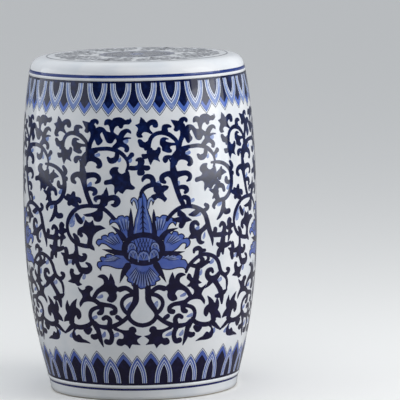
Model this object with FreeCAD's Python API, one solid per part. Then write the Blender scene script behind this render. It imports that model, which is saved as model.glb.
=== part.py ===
import FreeCAD, Part
import math
import os

os.makedirs("parts", exist_ok=True)

# Ceramic garden stool, a hollow drum open below, turned about the Z axis.
# All sizes are in millimetres. The stool stands on z = 0.

# Outline of the whole stool
total_height = 457.0
belly_radius = 159.4
belly_height = 240.0
rim_radius = 146.6
foot_radius = 130.1
foot_height = 15.5

# How full the drum stays on its way to the rim and to the foot
upper_fullness = 2.9
lower_fullness = 2.2

# Seat edge: a short easing curve, then the round shoulder
shoulder_radius = 18.0
easing_radius = 130.0
easing_angle = math.radians(8.0)

# Raised bands beside the rim and the foot
band_width = 5.6
band_proud = 1.1

# Thickness of the fired clay
wall_thickness = 9.0
seat_thickness = 10.0
foot_thickness = 12.5

# Foot ring
foot_taper = 2.4
foot_edge_radius = 2.5

# Slip coils and band that bind the sections inside
coil_radius = 8.0
coil_crown = 1.0
slip_band_width = 34.0
slip_band_thickness = 3.0
slip_gap = 0.3

# Heights and radii that follow from the sizes above
easing_drop = easing_radius * (1.0 - math.cos(easing_angle))
easing_run = easing_radius * math.sin(easing_angle)
shoulder_drop = shoulder_radius * math.cos(easing_angle)
shoulder_run = shoulder_radius * (1.0 - math.sin(easing_angle))
rim_height = total_height - easing_drop - shoulder_drop
seat_flat_radius = rim_radius - shoulder_run - easing_run
seat_underside = total_height - seat_thickness
cap_bore = rim_radius - wall_thickness
foot_bore = foot_radius - foot_thickness

# A spline through this many points follows the drum's curve
curve_points = 9


def drum_radius(height):
    """Outer radius of the drum at a height."""
    if height >= belly_height:
        share = (height - belly_height) / (rim_height - belly_height)
        return belly_radius - (belly_radius - rim_radius) * share ** upper_fullness
    share = (belly_height - height) / (belly_height - foot_height)
    return belly_radius - (belly_radius - foot_radius) * share ** lower_fullness


def at(radius, height):
    """A point of a section, in the plane that is turned about the axis."""
    return FreeCAD.Vector(radius, 0, height)


def line(start, end):
    return Part.makeLine(start, end)


def arc(start, middle, end):
    return Part.Arc(start, middle, end).toShape()


def drum_curve(low, high, inset):
    """The drum's curve between two heights, moved inwards by inset."""
    points = []
    for step in range(curve_points):
        height = low + (high - low) * step / (curve_points - 1)
        points.append(at(drum_radius(height) - inset, height))
    curve = Part.BSplineCurve()
    curve.interpolate(points)
    return curve.toShape()


def band_arc(low, high):
    """The raised band, a shallow bead between two heights on the drum."""
    middle = (low + high) / 2.0
    proud = at(drum_radius(middle) + band_proud, middle)
    return arc(at(drum_radius(low), low), proud, at(drum_radius(high), high))


def turned(edges):
    """A solid turned from the closed section that the edges make."""
    section = Part.Face(Part.Wire(edges))
    return section.revolve(FreeCAD.Vector(0, 0, 0), FreeCAD.Vector(0, 0, 1), 360)


def save(shape, name):
    shape.exportStep("parts/" + name + ".step")
    print(name, "volume", round(shape.Volume), "valid", shape.isValid())


def on_circle(centre, radius, angle):
    """A point of a section's circle, the angle counted from straight up."""
    return centre + at(radius * math.sin(angle), radius * math.cos(angle))


def seat_cap():
    """The seat, with its round shoulder turned down to the rim."""
    easing_centre = at(seat_flat_radius, total_height - easing_radius)
    shoulder_centre = at(rim_radius - shoulder_radius, rim_height)
    half_turn = (easing_angle + math.pi / 2.0) / 2.0
    axis_top = at(0, total_height)
    flat_edge = at(seat_flat_radius, total_height)
    easing_middle = on_circle(easing_centre, easing_radius, easing_angle / 2.0)
    easing_end = on_circle(shoulder_centre, shoulder_radius, easing_angle)
    shoulder_middle = on_circle(shoulder_centre, shoulder_radius, half_turn)
    rim_outer = at(rim_radius, rim_height)
    rim_inner = at(cap_bore, rim_height)
    under_corner = at(cap_bore, seat_underside)
    axis_under = at(0, seat_underside)
    return turned([
        line(axis_top, flat_edge),
        arc(flat_edge, easing_middle, easing_end),
        arc(easing_end, shoulder_middle, rim_outer),
        line(rim_outer, rim_inner),
        line(rim_inner, under_corner),
        line(under_corner, axis_under),
        line(axis_under, axis_top),
    ])


def upper_drum():
    """The drum's wall from the waist to the rim, with the rim band."""
    band_low = rim_height - band_width
    return turned([
        drum_curve(belly_height, band_low, 0.0),
        band_arc(band_low, rim_height),
        line(at(rim_radius, rim_height), at(cap_bore, rim_height)),
        drum_curve(belly_height, rim_height, wall_thickness),
        line(at(belly_radius - wall_thickness, belly_height), at(belly_radius, belly_height)),
    ])


def lower_drum():
    """The drum's wall from the foot to the waist, with the foot band."""
    band_high = foot_height + band_width
    return turned([
        drum_curve(band_high, belly_height, 0.0),
        line(at(belly_radius, belly_height), at(belly_radius - wall_thickness, belly_height)),
        drum_curve(foot_height, belly_height, wall_thickness),
        line(at(foot_radius - wall_thickness, foot_height), at(foot_radius, foot_height)),
        band_arc(foot_height, band_high),
    ])


def foot_ring():
    """The bare-edged ring that the stool stands on."""
    base_radius = foot_radius - foot_taper
    outer_corner = at(base_radius, foot_edge_radius)
    inner_corner = at(foot_bore, foot_edge_radius)
    outer_centre = outer_corner - at(foot_edge_radius, 0)
    inner_centre = inner_corner + at(foot_edge_radius, 0)
    outer_low = outer_centre - at(0, foot_edge_radius)
    inner_low = inner_centre - at(0, foot_edge_radius)
    low_right = on_circle(outer_centre, foot_edge_radius, math.radians(135))
    low_left = on_circle(inner_centre, foot_edge_radius, math.radians(225))
    top_outer = at(foot_radius, foot_height)
    top_inner = at(foot_bore, foot_height)
    return turned([
        line(top_outer, outer_corner),
        arc(outer_corner, low_right, outer_low),
        line(outer_low, inner_low),
        arc(inner_low, low_left, inner_corner),
        line(inner_corner, top_inner),
        line(top_inner, top_outer),
    ])


def seat_slip_coil():
    """The coil pressed into the corner under the seat."""
    outer = cap_bore - slip_gap
    corner = at(outer, seat_underside)
    low = at(outer, seat_underside - coil_radius)
    inner = at(outer - coil_radius, seat_underside)
    middle = on_circle(corner, coil_radius, math.radians(225))
    return turned([line(inner, corner), line(corner, low), arc(low, middle, inner)])


def waist_slip_band():
    """The band smeared over the joint of the two drum halves."""
    low = belly_height - slip_band_width / 2.0
    high = belly_height + slip_band_width / 2.0
    outer_inset = wall_thickness + slip_gap
    inner_inset = outer_inset + slip_band_thickness
    low_outer = at(drum_radius(low) - outer_inset, low)
    low_inner = at(drum_radius(low) - inner_inset, low)
    high_outer = at(drum_radius(high) - outer_inset, high)
    high_inner = at(drum_radius(high) - inner_inset, high)
    return turned([
        drum_curve(low, high, outer_inset),
        line(high_outer, high_inner),
        drum_curve(low, high, inner_inset),
        line(low_inner, low_outer),
    ])


def foot_slip_coil():
    """The coil on the foot ring's ledge, against the drum's wall inside."""
    inset = wall_thickness + slip_gap
    top = foot_height + coil_radius
    ledge_inner = at(foot_bore, foot_height)
    ledge_outer = at(foot_radius - inset, foot_height)
    wall_top = at(drum_radius(top) - inset, top)
    middle = at((ledge_inner.x + wall_top.x) / 2.0, (foot_height + top) / 2.0)
    crown = middle + at(-coil_crown, 0)
    return turned([
        line(ledge_inner, ledge_outer),
        drum_curve(foot_height, top, inset),
        arc(wall_top, crown, ledge_inner),
    ])


save(seat_cap(), "seat_cap")
save(upper_drum(), "upper_drum")
save(lower_drum(), "lower_drum")
save(foot_ring(), "foot_ring")
save(seat_slip_coil(), "seat_slip_coil")
save(waist_slip_band(), "waist_slip_band")
save(foot_slip_coil(), "foot_slip_coil")
print("seat flat radius", round(seat_flat_radius, 2), "rim height", round(rim_height, 2))
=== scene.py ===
import bmesh
import bpy
import math
from mathutils import Matrix, Vector


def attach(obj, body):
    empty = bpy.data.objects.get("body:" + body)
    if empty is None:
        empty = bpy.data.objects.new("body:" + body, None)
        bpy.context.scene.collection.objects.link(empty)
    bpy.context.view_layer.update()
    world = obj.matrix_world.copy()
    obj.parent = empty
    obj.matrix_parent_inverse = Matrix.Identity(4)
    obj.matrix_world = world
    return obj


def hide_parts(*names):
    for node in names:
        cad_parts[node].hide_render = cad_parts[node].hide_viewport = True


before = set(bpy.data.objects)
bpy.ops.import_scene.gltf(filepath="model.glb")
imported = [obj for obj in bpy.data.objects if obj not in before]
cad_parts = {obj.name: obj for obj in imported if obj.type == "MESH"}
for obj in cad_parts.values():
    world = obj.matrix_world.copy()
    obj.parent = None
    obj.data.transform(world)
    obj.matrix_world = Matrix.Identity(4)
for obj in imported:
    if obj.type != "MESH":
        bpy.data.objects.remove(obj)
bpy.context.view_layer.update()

# Camera
# The stool was photographed from well above the seat and from far away,
# with a long lens, standing left of the middle of the picture.
camera_place = Vector((0.0, -5.4353, 0.89675))
camera_lens = 360.0
camera_sensor = 36.0
turned_right = math.radians(0.865)
tipped_down = math.radians(6.737)
rolled = math.radians(1.137)

ahead = Vector((
    math.sin(turned_right) * math.cos(tipped_down),
    math.cos(turned_right) * math.cos(tipped_down),
    -math.sin(tipped_down),
))
level_right = Vector((math.cos(turned_right), -math.sin(turned_right), 0.0))
level_down = ahead.cross(level_right)
picture_right = level_right * math.cos(rolled) + level_down * math.sin(rolled)
picture_down = level_down * math.cos(rolled) - level_right * math.sin(rolled)

camera_data = bpy.data.cameras.new("camera")
camera_data.lens = camera_lens
camera_data.sensor_width = camera_sensor
camera_data.clip_end = 100.0
camera = bpy.data.objects.new("camera", camera_data)
bpy.context.scene.collection.objects.link(camera)
turn = Matrix((picture_right, -picture_down, -ahead)).transposed().to_4x4()
camera.matrix_world = Matrix.Translation(camera_place) @ turn
bpy.context.scene.camera = camera

# Seat cap
# The flat seat and its round shoulder, thrown in one piece of white stoneware and dipped in
# a thick clear glaze, which stays soft and wavy when it is fired. Sizes of the stool are in
# millimetres here and are turned to metres in the meshes.
mm = 0.001
total_height = 457.0
rim_radius = 146.6
rim_height = 437.91
seat_flat_radius = 113.01
easing_radius = 130.0
easing_angle = math.radians(8.0)
shoulder_radius = 18.0
seat_underside = 447.0
cap_bore = 137.6
glaze_inset = 0.3
lathe_steps = 288
easing_steps = 4
shoulder_steps = 16
crease_round = 0.8
slack = 0.1
shoulder_end = math.radians(87.0)
flat_rings = (0.0, 30.0, 60.0, 90.0)
sharp_angle = math.radians(38.0)
weld = 1e-6

glaze_white = (0.79, 0.805, 0.83, 1.0)
glaze_pooled = (0.70, 0.735, 0.78, 1.0)
clay_light = (0.62, 0.57, 0.49, 1.0)
clay_stained = (0.50, 0.44, 0.36, 1.0)
glaze_roughness = 0.07
glaze_specular = 0.30
pooled_patch = 0.045
pooled_change = (0.35, 0.75)
clay_roughness = 0.85
stain_patch = 0.030
stain_change = (0.3, 0.8)
grain_size = 0.0015
grain_depth = 0.0002


class Tone:
    """A value inside one finish. Sums on it add Math nodes, and node adds any other."""

    def __init__(self, tree, socket=None):
        self.tree = tree
        self.socket = socket

    def node(self, kind, settings, sockets, output=0):
        made = self.tree.nodes.new(kind)
        for name, value in settings.items():
            setattr(made, name, value)
        for name, value in sockets.items():
            if isinstance(value, Tone):
                self.tree.links.new(value.socket, made.inputs[name])
            else:
                made.inputs[name].default_value = value
        return Tone(self.tree, made.outputs[output])

    def sum_of(self, operation, first, second):
        return self.node("ShaderNodeMath", {"operation": operation}, {0: first, 1: second})

    def __add__(self, other):
        return self.sum_of("ADD", self, other)

    def __mul__(self, other):
        return self.sum_of("MULTIPLY", self, other)

    def __rmul__(self, other):
        return self.sum_of("MULTIPLY", other, self)

    def __sub__(self, other):
        return self.sum_of("SUBTRACT", self, other)

    def __rsub__(self, other):
        return self.sum_of("SUBTRACT", other, self)

    def clouds(self, size, detail=2.0):
        """Soft clouds between 0 and 1 whose patches are about size metres across."""
        place = self.node("ShaderNodeTexCoord", {}, {}, "Object")
        settings = {"noise_dimensions": "3D"}
        sockets = {"Vector": place, "Scale": 1.0 / size, "Detail": detail}
        return self.node("ShaderNodeTexNoise", settings, sockets, "Fac")

    def height(self):
        """How high a point lies on the stool, in metres."""
        place = self.node("ShaderNodeTexCoord", {}, {}, "Object")
        return self.node("ShaderNodeSeparateXYZ", {}, {"Vector": place}, "Z")

    def rise(self, low, high):
        """0 where this value is low and 1 where it is high, with a soft change between."""
        settings = {"interpolation_type": "SMOOTHSTEP"}
        sockets = {"Value": self, "From Min": low, "From Max": high}
        return self.node("ShaderNodeMapRange", settings, sockets, "Result")

    def blend(self, first, second):
        """From the first colour, where this value is 0, to the second, where it is 1."""
        sockets = {0: self, 6: first, 7: second}
        return self.node("ShaderNodeMix", {"data_type": "RGBA"}, sockets, 2)


def finish_of(name, roughness):
    """A new finish with its own shader, and the Tone to write the rest with."""
    made = bpy.data.materials.new(name)
    made.use_nodes = True
    shader = made.node_tree.nodes["Principled BSDF"]
    shader.inputs["Roughness"].default_value = roughness
    shader.inputs["Specular IOR Level"].default_value = glaze_specular
    return made, shader, Tone(made.node_tree)


wave_size = 0.060
ripple_size = 0.011
ripple_share = 0.05
wave_depth = 0.00045


def glaze_over(tone, shader):
    """The thick clear glaze: a soft, wavy gloss that runs on over the painting."""
    waves = tone.clouds(wave_size, 1.0) + tone.clouds(ripple_size) * ripple_share
    sockets = {"Strength": 1.0, "Distance": wave_depth, "Height": waves}
    wavy = tone.node("ShaderNodeBump", {}, sockets, "Normal")
    tone.tree.links.new(wavy.socket, shader.inputs["Normal"])


def white_glaze():
    """White body under clear glaze, a little greyer where the glaze lies thicker."""
    made, shader, tone = finish_of("white_glaze", glaze_roughness)
    pooled = tone.clouds(pooled_patch, 3.0).rise(*pooled_change)
    colour = pooled.blend(glaze_white, glaze_pooled)
    tone.tree.links.new(colour.socket, shader.inputs["Base Color"])
    glaze_over(tone, shader)
    return made


def bare_clay():
    """The fired clay where there is no glaze, dry and faintly sandy."""
    made, shader, tone = finish_of("bare_clay", clay_roughness)
    stains = tone.clouds(stain_patch, 4.0).rise(*stain_change)
    colour = stains.blend(clay_light, clay_stained)
    tone.tree.links.new(colour.socket, shader.inputs["Base Color"])
    grain = {"Strength": 0.5, "Distance": grain_depth, "Height": tone.clouds(grain_size, 3.0)}
    sandy = tone.node("ShaderNodeBump", {}, grain, "Normal")
    tone.tree.links.new(sandy.socket, shader.inputs["Normal"])
    return made


white_glaze_finish = white_glaze()
bare_clay_finish = bare_clay()


def thrown(name, section, closed, bare):
    """A piece turned on the wheel from its section, a list of (radius, height) points.

    Faces for which bare(radius, height) is true are left without glaze.
    """
    clay = bmesh.new()
    ring = [clay.verts.new((radius * mm, 0.0, height * mm)) for radius, height in section]
    edges = [clay.edges.new(pair) for pair in zip(ring, ring[1:])]
    if closed:
        edges.append(clay.edges.new((ring[-1], ring[0])))
    bmesh.ops.spin(
        clay, geom=ring + edges, cent=(0, 0, 0), axis=(0, 0, 1), dvec=(0, 0, 0),
        angle=math.tau, steps=lathe_steps, use_merge=True,
    )
    bmesh.ops.remove_doubles(clay, verts=clay.verts, dist=weld)
    bmesh.ops.recalc_face_normals(clay, faces=clay.faces)
    for face in clay.faces:
        middle = face.calc_center_median()
        radius = math.hypot(middle.x, middle.y) / mm
        face.material_index = 1 if bare(radius, middle.z / mm) else 0
    mesh = bpy.data.meshes.new(name)
    clay.to_mesh(mesh)
    clay.free()
    mesh.materials.append(white_glaze_finish)
    mesh.materials.append(bare_clay_finish)
    mesh.shade_smooth()
    mesh.set_sharp_from_angle(angle=sharp_angle)
    piece = bpy.data.objects.new(name, mesh)
    bpy.context.scene.collection.objects.link(piece)
    return piece


def arc_points(centre_radius, centre_height, size, start, end, steps):
    """Points of a section's arc; the angles are counted from straight up."""
    points = []
    for step in range(steps + 1):
        angle = start + (end - start) * step / steps
        across = centre_radius + size * math.sin(angle)
        points.append((across, centre_height + size * math.cos(angle)))
    return points


def seat_section():
    """The seat's section from the middle of the top, round the shoulder, to the middle below."""
    easing_centre = total_height - easing_radius
    easing = arc_points(
        seat_flat_radius, easing_centre, easing_radius - glaze_inset, 0.0, easing_angle, easing_steps
    )
    shoulder = arc_points(
        rim_radius - shoulder_radius, rim_height, shoulder_radius - glaze_inset,
        easing_angle, shoulder_end, shoulder_steps,
    )
    flat = [(radius, total_height - glaze_inset) for radius in flat_rings]
    crease = [(rim_radius - glaze_inset - crease_round, rim_height)]
    under = [(cap_bore, rim_height), (cap_bore, seat_underside), (0.0, seat_underside)]
    return flat + easing + shoulder[1:] + crease + under


def under_seat(radius, height):
    inside = radius < cap_bore + slack and height < seat_underside + slack
    return inside or height < rim_height + slack / 10.0


seat_cap = thrown("stool_seat_cap", seat_section(), False, under_seat)
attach(seat_cap, "root")
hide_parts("seat_cap")

# Drum halves
# The hollow body, thrown as two halves that meet at the widest place and are
# joined with slip while the clay is soft. A raised bead runs beside the rim and the foot.
belly_radius = 159.4
belly_height = 240.0
foot_radius = 130.1
foot_height = 15.5
foot_taper = 2.4
upper_fullness = 2.9
lower_fullness = 2.2
band_width = 5.6
band_proud = 1.1
wall_thickness = 9.0
wall_step = 5.0
bead_steps = 8


def drum_radius(height):
    """Outer radius of the drum at a height."""
    if height >= belly_height:
        share = (height - belly_height) / (rim_height - belly_height)
        return belly_radius - (belly_radius - rim_radius) * share ** upper_fullness
    share = (belly_height - height) / (belly_height - foot_height)
    return belly_radius - (belly_radius - foot_radius) * share ** lower_fullness


def bead_rise(height, low):
    """How far the raised bead that starts at low stands out of the drum at a height."""
    share = (height - low) / band_width
    return band_proud * max(0.0, 1.0 - (2.0 * share - 1.0) ** 2)


def glaze_radius(height):
    """Radius of the glazed outside at any height from the ground to the shoulder."""
    if height > rim_height:
        up = min(height - rim_height, shoulder_radius)
        return rim_radius - shoulder_radius + math.sqrt(shoulder_radius ** 2 - up ** 2) - glaze_inset
    if height < foot_height:
        return foot_radius - foot_taper * (foot_height - height) / foot_height - glaze_inset
    if height > rim_height - band_width:
        return drum_radius(height) + bead_rise(height, rim_height - band_width) - glaze_inset
    if height < foot_height + band_width:
        return drum_radius(height) + bead_rise(height, foot_height) - glaze_inset
    return drum_radius(height) - glaze_inset


def even_heights(low, high, step):
    """Heights from low to high, about step apart."""
    count = max(1, round((high - low) / step))
    return [low + (high - low) * place / count for place in range(count + 1)]


def inner_wall(low, high):
    """The inside of the wall, from the top down."""
    return [(drum_radius(z) - wall_thickness, z) for z in reversed(even_heights(low, high, wall_step))]


def inside_wall(radius, height):
    return radius < drum_radius(height) - wall_thickness / 2.0


bead_low = rim_height - band_width
upper_wall = even_heights(belly_height, bead_low, wall_step)
upper_bead = even_heights(bead_low, rim_height - crease_round / 2.0, band_width / bead_steps)[1:]
upper_section = [(glaze_radius(z), z) for z in upper_wall + upper_bead]
upper_section += [(rim_radius - glaze_inset - crease_round, rim_height)]
upper_section += inner_wall(belly_height, rim_height)
upper_drum = thrown("stool_upper_drum", upper_section, True, inside_wall)
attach(upper_drum, "root")
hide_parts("upper_drum")

bead_high = foot_height + band_width
lower_bead = even_heights(foot_height, bead_high, band_width / bead_steps)
lower_wall = even_heights(bead_high, belly_height, wall_step)[1:]
lower_section = [(glaze_radius(z), z) for z in lower_bead + lower_wall]
lower_section += inner_wall(foot_height, belly_height)
lower_drum = thrown("stool_lower_drum", lower_section, True, inside_wall)
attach(lower_drum, "root")
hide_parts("lower_drum")

# Foot ring
# A thick turned ring that carries the stool. It is glazed outside and wiped bare
# where it stands on the ground and inside.
foot_thickness = 12.5
foot_edge_radius = 2.5
foot_edge_steps = 5
foot_step = 3.0
wiped_height = 1.6


def foot_section():
    foot_bore = foot_radius - foot_thickness
    base = foot_radius - foot_taper - glaze_inset
    rows = even_heights(foot_edge_radius, foot_height, foot_step)
    outside = [(glaze_radius(z), z) for z in reversed(rows)]
    outer_edge = arc_points(
        base - foot_edge_radius, foot_edge_radius, foot_edge_radius,
        math.radians(100.0), math.radians(180.0), foot_edge_steps,
    )
    inner_edge = arc_points(
        foot_bore + foot_edge_radius, foot_edge_radius, foot_edge_radius,
        math.radians(180.0), math.radians(270.0), foot_edge_steps,
    )
    return outside + outer_edge + inner_edge + [(foot_bore, foot_height)]


def wiped_bare(radius, height):
    return height < wiped_height or radius < foot_radius - foot_thickness / 2.0


foot_ring = thrown("stool_foot_ring", foot_section(), True, wiped_bare)
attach(foot_ring, "root")
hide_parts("foot_ring")

# Slip coils inside
# Rolls of soft clay and a smeared band of slip that bind the sections on the inside.
# They are left as they were built, in bare clay.
for coil in ("seat_slip_coil", "waist_slip_band", "foot_slip_coil"):
    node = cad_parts[coil]
    node.data.materials.clear()
    node.data.materials.append(bare_clay_finish)

# Painted ring lines
# Cobalt under the glaze: a line in the crease below the shoulder and one on the foot,
# drawn while the stool turns on the wheel.
round_mm = 159.0
mm_per_degree = round_mm * math.radians(1.0)
ink_lift = {"wash": 0.01, "mid": 0.055, "deep": 0.10, "dark": 0.145, "light": 0.19, "pale": 0.235}
lift_step = 0.003
lift_turns = 14
slope_step = 1.0

# Each ink has a pure colour for above the belly and a more violet, duller one for below it, where the glaze
# faces the floor: painted shade and a painted reflection of the floor.
navy_high = (0.0026, 0.0060, 0.038, 1.0)
navy_painted_shade = (0.0060, 0.0040, 0.026, 1.0)
deep_high = (0.010, 0.030, 0.18, 1.0)
deep_painted_shade = (0.020, 0.022, 0.12, 1.0)
navy_thin_high = (0.014, 0.040, 0.20, 1.0)
navy_thin_painted_shade = (0.016, 0.014, 0.080, 1.0)
blue_high = (0.075, 0.150, 0.52, 1.0)
blue_painted_shade = (0.072, 0.115, 0.40, 1.0)
light_high = (0.16, 0.24, 0.53, 1.0)
light_painted_shade = (0.17, 0.22, 0.46, 1.0)
pale_high = (0.64, 0.71, 0.84, 1.0)
pale_painted_shade = (0.56, 0.61, 0.74, 1.0)
# Heights in metres over which the painted shade and floor reflection below the belly give way to the pure
# colours above.
painted_shade_change = (0.16, 0.34)
watery_patch = 0.008
watery_change = (0.42, 0.80)
rim_line = (436.4, 440.4)
foot_line = (13.8, 16.9)


def cobalt(name, low, high, thin_painted_shade, thin_high, depth):
    """Cobalt painting, pure blue above and watery where it ran thin; below the belly it is made violet and
    duller, painted shade and a painted reflection of the floor.
    """
    made, shader, tone = finish_of(name, glaze_roughness)
    # 0 below the belly, where the inks carry painted shade and a painted reflection of the floor, 1 above
    # it.
    up = tone.height().rise(*painted_shade_change)
    watery = tone.clouds(watery_patch, 3.0).rise(*watery_change) * depth
    colour = watery.blend(up.blend(low, high), up.blend(thin_painted_shade, thin_high))
    tone.tree.links.new(colour.socket, shader.inputs["Base Color"])
    glaze_over(tone, shader)
    return made


cobalt_finish = {
    "dark": cobalt("cobalt_dark", navy_painted_shade, navy_high, navy_thin_painted_shade, navy_thin_high, 0.45),
    "deep": cobalt("cobalt_deep", deep_painted_shade, deep_high, blue_painted_shade, blue_high, 0.25),
    "mid": cobalt("cobalt_mid", blue_painted_shade, blue_high, light_painted_shade, light_high, 0.45),
    "light": cobalt("cobalt_light", light_painted_shade, light_high, pale_painted_shade, pale_high, 0.4),
    "pale": cobalt("cobalt_pale", pale_painted_shade, pale_high, glaze_white, glaze_white, 0.5),
    "wash": cobalt("cobalt_wash", light_painted_shade, light_high, pale_painted_shade, pale_high, 0.6),
}


def new_painting():
    """An empty drawing with one sheet for each strength of cobalt.

    A drawing is made flat, x and y in millimetres and z the thickness of the colour.
    """
    return {ink: bmesh.new() for ink in ink_lift}


def next_lift(sheet, ink):
    """Each stroke lies a hair above the last, as wet colour does."""
    return ink_lift[ink] + lift_step * (len(sheet.faces) % lift_turns)


def round_the_drum(point):
    """Where a point of a flat drawing goes on the drum, and which way the glaze faces there."""
    angle = point.x / round_mm
    radius = glaze_radius(point.y) + point.z
    above, below = point.y + slope_step / 2.0, point.y - slope_step / 2.0
    slope = (glaze_radius(above) - glaze_radius(below)) / slope_step
    out = Vector((math.sin(angle), -math.cos(angle), 0.0))
    place = out * radius + Vector((0.0, 0.0, point.y))
    return place * mm, (out - Vector((0.0, 0.0, slope))).normalized()


def keep_painting(name, painting, onto):
    """Lays a drawing on the stool with onto and keeps one piece for each sheet that is used."""
    for ink, sheet in painting.items():
        if sheet.verts:
            bmesh.ops.triangulate(sheet, faces=sheet.faces[:])
            sheet.normal_update()
            bmesh.ops.reverse_faces(sheet, faces=[face for face in sheet.faces if face.normal.z < 0.0])
            facing = []
            for vertex in sheet.verts:
                vertex.co, normal = onto(vertex.co)
                facing.append(normal)
            mesh = bpy.data.meshes.new(name + "_" + ink)
            sheet.to_mesh(mesh)
            mesh.shade_smooth()
            mesh.normals_split_custom_set_from_vertices(facing)
            mesh.materials.append(cobalt_finish[ink])
            piece = bpy.data.objects.new(name + "_" + ink, mesh)
            bpy.context.scene.collection.objects.link(piece)
            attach(piece, "root")
        sheet.free()


def woven(sheet, rows):
    """A patch through rows of flat points, all rows of one length."""
    grid = bmesh.ops.create_grid(
        sheet, x_segments=len(rows[0]) - 1, y_segments=len(rows) - 1, size=1.0
    )
    points = [point for row in rows for point in row]
    for vertex, point in zip(grid["verts"], points):
        vertex.co = point


def ring_line(painting, ink, low, high, extra=0.0):
    """A painted ring round the stool between two heights."""
    sheet = painting[ink]
    lift = next_lift(sheet, ink) + extra
    around = [360.0 * mm_per_degree * step / lathe_steps for step in range(lathe_steps + 1)]
    rows = [[Vector((x, z, lift)) for x in around] for z in even_heights(low, high, 1.0)]
    woven(sheet, rows)


rings = new_painting()
ring_line(rings, "deep", *rim_line)
ring_line(rings, "deep", *foot_line)
keep_painting("ring_lines", rings, round_the_drum)

# Petal borders
# Pointed petals that hang under the rim and stand above the foot, each drawn as one
# outline inside another: a dark edge, pale lines, blue bands, and a dark heart.
petal_power = 2.65
petal_tip_power = 1.4
petal_steps = 20
rim_petals = 28
rim_petal_base = 431.0
rim_petal_first = 4.3
rim_front_lines = (
    (390.4, 5.80, "dark"), (391.7, 5.46, "pale"), (393.3, 5.04, "deep"), (394.2, 4.86, "light"),
    (401.4, 3.92, "pale"), (403.3, 3.50, "deep"), (405.0, 3.12, "pale"), (407.6, 2.66, "dark"),
    (None, 0.0, None),
)
rim_back_lines = (
    (386.0, 6.40, "dark"), (387.3, 6.12, "pale"), (388.9, 5.78, "deep"), (389.8, 5.60, "mid"),
    (396.5, 4.60, "dark"), (None, 0.0, None),
)
foot_petals = 24
foot_petal_base = 23.0
foot_petal_first = -3.4
foot_front_lines = (
    (63.8, 5.45, "dark"), (62.6, 5.16, "pale"), (60.9, 4.72, "mid"), (56.4, 3.86, "pale"),
    (54.6, 3.44, "mid"), (51.8, 2.90, "pale"), (49.8, 2.46, "dark"), (None, 0.0, None),
)
foot_back_lines = (
    (69.6, 7.20, "dark"), (68.4, 6.94, "pale"), (66.8, 6.60, "deep"), (65.9, 6.42, "mid"),
    (60.0, 5.40, "dark"), (None, 0.0, None),
)
border_lift = 0.12
back_lift = -0.03
front_lift = 0.05
petal_sways = ((1.3, 2.4), (0.7, 5.1))
petal_drift = (0.25, 3.7)
back_sway = 0.6
rim_edge = (429.8, 432.6)
foot_edge = (21.3, 24.4)


def petal_line(middle, base, tip, half_width):
    """The outline of one petal from its base, over the tip and back, as flat points."""
    points = []
    for step in range(petal_steps + 1):
        along = 2.0 * step / petal_steps - 1.0
        from_tip = abs(along) ** petal_tip_power
        width = half_width * (1.0 - (1.0 - from_tip) ** petal_power)
        across = middle + math.copysign(width, along)
        points.append((across * mm_per_degree, tip + (base - tip) * from_tip))
    return points


def petal(painting, middle, base, lines, sway, lift):
    """One petal: every band lies between its own outline and the next one inside."""
    for outer, inner in zip(lines, lines[1:]):
        tip, half_width, ink = outer
        edge = petal_line(middle, base, tip + sway, half_width)
        if inner[0] is None:
            inside = [(middle * mm_per_degree, z) for x, z in edge]
        else:
            inside = petal_line(middle, base, inner[0] + sway, inner[1])
        rows = []
        for share in ((0.0, 0.5, 1.0) if inner[0] is None else (0.0, 1.0)):
            row = []
            for (x1, z1), (x2, z2) in zip(edge, inside):
                row.append(Vector((x1 + (x2 - x1) * share, z1 + (z2 - z1) * share, border_lift + lift)))
            rows.append(row)
        woven(painting[ink], rows)


def petal_border(name, count, first, base, front, back, edge):
    """A border of petals: a row behind, a row in front, and a ring line over their bases."""
    border = new_painting()
    period = 360.0 / count
    for place in range(count):
        sway = sum(size * math.sin(place * turn) for size, turn in petal_sways)
        drift = petal_drift[0] * math.sin(place * petal_drift[1])
        petal(border, first + (place + 0.5) * period, base, back, back_sway * sway, back_lift)
        petal(border, first + place * period + drift, base, front, sway, front_lift)
    ring_line(border, "dark", *edge, 2.0 * front_lift)
    keep_painting(name, border, round_the_drum)


petal_border(
    "rim_petals", rim_petals, rim_petal_first, rim_petal_base, rim_front_lines, rim_back_lines, rim_edge
)
petal_border(
    "foot_petals", foot_petals, foot_petal_first, foot_petal_base, foot_front_lines, foot_back_lines,
    foot_edge,
)

# Lotus flowers
# Four open lotus flowers round the belly, each with a bud that stands over a chequered and
# scaled heart. The petals are washed in blue, then outlined and veined with a fine brush.
lotus_count = 4
curve_steps = 5
edge_line = 1.5
dark_vein = ((0.42, 0.7), (0.66, 1.0), (0.88, 0.5))
light_vein = ((0.50, 0.5), (0.72, 1.4), (0.93, 2.0))
cuts = ((0, 4.0, Vector((1.0, 0.0, 0.0))), (1, 12.0, Vector((0.0, 1.0, 0.0))))
cut_weld = 1e-5
end_steps = 4
hand_drift = 0.8
hand_tremble = 0.5
drift_periods = (23.0, 19.0)
drift_turns = (2.3, 3.1, 5.2)
drift_starts = (1.3, 0.7)
heart_middle = (1.15, 209.3)


def between(before, start, end, after, share):
    """A point of the smooth line that runs through start and end."""
    square = share * share
    cube = square * share
    return [
        0.5 * (2 * b + (c - a) * share + (2 * a - 5 * b + 4 * c - d) * square
               + (3 * b - a - 3 * c + d) * cube)
        for a, b, c, d in zip(before, start, end, after)
    ]


def smooth_line(points, closed):
    """A smooth line through points; a point that is given twice makes a sharp corner."""
    count = len(points)
    line = []
    for index in range(count if closed else count - 1):
        start, end = points[index], points[(index + 1) % count]
        before = points[index - 1] if closed or index > 0 else start
        after = points[(index + 2) % count] if closed or index + 2 < count else end
        if start != end:
            for step in range(curve_steps):
                line.append(between(before, start, end, after, step / curve_steps))
    return line if closed else line + [list(points[-1])]


def on_drum(degrees, height):
    """A point of a flat drawing from degrees round the drum and a height."""
    return degrees * mm_per_degree, height


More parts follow.
